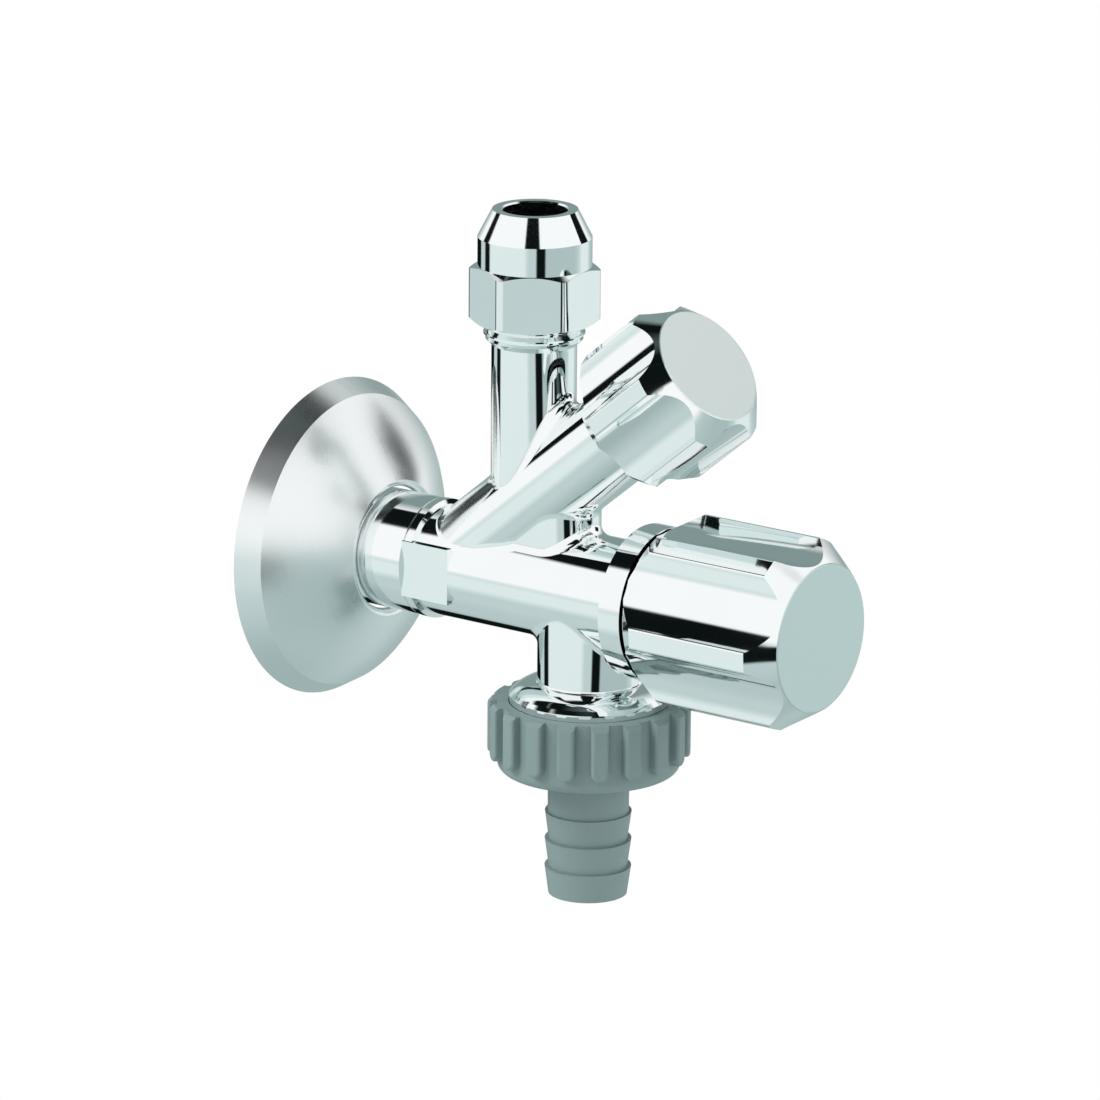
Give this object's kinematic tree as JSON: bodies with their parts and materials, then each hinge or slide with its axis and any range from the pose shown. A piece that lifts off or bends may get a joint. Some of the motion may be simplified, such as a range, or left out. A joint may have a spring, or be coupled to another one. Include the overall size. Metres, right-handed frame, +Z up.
{
  "type": "combination angle valve",
  "caption": "Chromed combination angle valve with a wall rosette, main and branch knobs, a compression outlet upward and a ribbed union with a barbed hose tail downward.",
  "frame": {"origin": "on the inlet axis, in the plane of the wall, where the rosette's rim rests", "axes": "+X leaves the wall along the inlet and the main knob, +Z is up along the compression outlet"},
  "size_m": [0.1087, 0.0536, 0.1138],
  "materials": {
    "chrome": "polished",
    "chrome_sheet": "polished",
    "chrome_knob": "polished",
    "brass": "machined",
    "steel": "drawn",
    "rubber": "moulded",
    "fibre": "pressed fibre",
    "valve_plastic": "moulded",
    "grey_plastic": "moulded, matte"
  },
  "bodies": {
    "valve": {"valve_body": "chrome", "main_bonnet": "brass", "main_bonnet_seal": "fibre", "upper_bonnet": "brass", "upper_bonnet_seal": "fibre", "main_sleeve": "chrome", "check_housing": "valve_plastic", "check_seal": "rubber", "check_spring": "steel"},
    "rosette": {"rosette": "chrome_sheet"},
    "main_knob": {"main_knob": "chrome_knob", "main_spindle": "brass", "main_spindle_seal": "rubber", "main_clip": "steel"},
    "main_plunger": {"main_plunger": "brass", "main_seat_washer": "rubber", "main_washer_screw": "steel"},
    "upper_knob": {"upper_knob": "chrome_knob", "upper_spindle": "brass", "upper_spindle_seal": "rubber", "upper_clip": "steel"},
    "upper_plunger": {"upper_plunger": "brass", "upper_seat_washer": "rubber", "upper_washer_screw": "steel"},
    "check_poppet": {"check_poppet": "valve_plastic"},
    "hose_tail": {"hose_tail": "grey_plastic", "hose_gasket": "rubber"},
    "union_nut": {"union_nut": "grey_plastic"},
    "compression_ring": {"compression_ring": "brass"},
    "compression_nut": {"compression_nut": "chrome"}
  },
  "joints": [
    {"name": "rosette_slide", "type": "slide", "parent": "valve", "child": "rosette", "axis": [1, 0, 0], "range_m": [0, 0.008]},
    {"name": "main_knob_turn", "type": "hinge", "parent": "valve", "child": "main_knob", "pos_m": [0.0437, 0, 0], "axis": [1, 0, 0], "range_deg": [0, 960]},
    {"name": "main_plunger_slide", "type": "slide", "parent": "valve", "child": "main_plunger", "axis": [1, 0, 0], "range_m": [0, 0.004]},
    {"name": "upper_knob_turn", "type": "hinge", "parent": "valve", "child": "upper_knob", "pos_m": [0.04448, 0, 0.01531], "axis": [0.7735, 0, 0.6338], "range_deg": [0, 960]},
    {"name": "upper_plunger_slide", "type": "slide", "parent": "valve", "child": "upper_plunger", "axis": [0.7735, 0, 0.6338], "range_m": [0, 0.004]},
    {"name": "check_poppet_slide", "type": "slide", "parent": "valve", "child": "check_poppet", "axis": [0, 0, -1], "range_m": [0, 0.002], "stiffness_N_per_m": 100, "springref_m": -0.004, "deforming": ["check_spring"]},
    {"name": "hose_tail_slide", "type": "slide", "parent": "valve", "child": "hose_tail", "axis": [0, 0, -1], "range_m": [0, 0.00544]},
    {"name": "union_nut_turn", "type": "hinge", "parent": "hose_tail", "child": "union_nut", "pos_m": [0.0532, 0, -0.0245], "axis": [0, 0, -1], "range_deg": [0, 1080]},
    {"name": "compression_ring_slide", "type": "slide", "parent": "valve", "child": "compression_ring", "axis": [0, 0, 1], "range_m": [0, 0.00802]},
    {"name": "compression_nut_turn", "type": "hinge", "parent": "compression_ring", "child": "compression_nut", "pos_m": [0.0414, 0, 0.052], "axis": [0, 0, 1], "range_deg": [0, 2160]}
  ],
  "couplings": [
    {"joint": "main_plunger_slide", "follows": "main_knob_turn", "m_per_rad": 0.00023873},
    {"joint": "upper_plunger_slide", "follows": "upper_knob_turn", "m_per_rad": 0.00023873},
    {"joint": "hose_tail_slide", "follows": "union_nut_turn", "m_per_rad": 0.00028871},
    {"joint": "compression_ring_slide", "follows": "compression_nut_turn", "m_per_rad": 0.00021279}
  ]
}
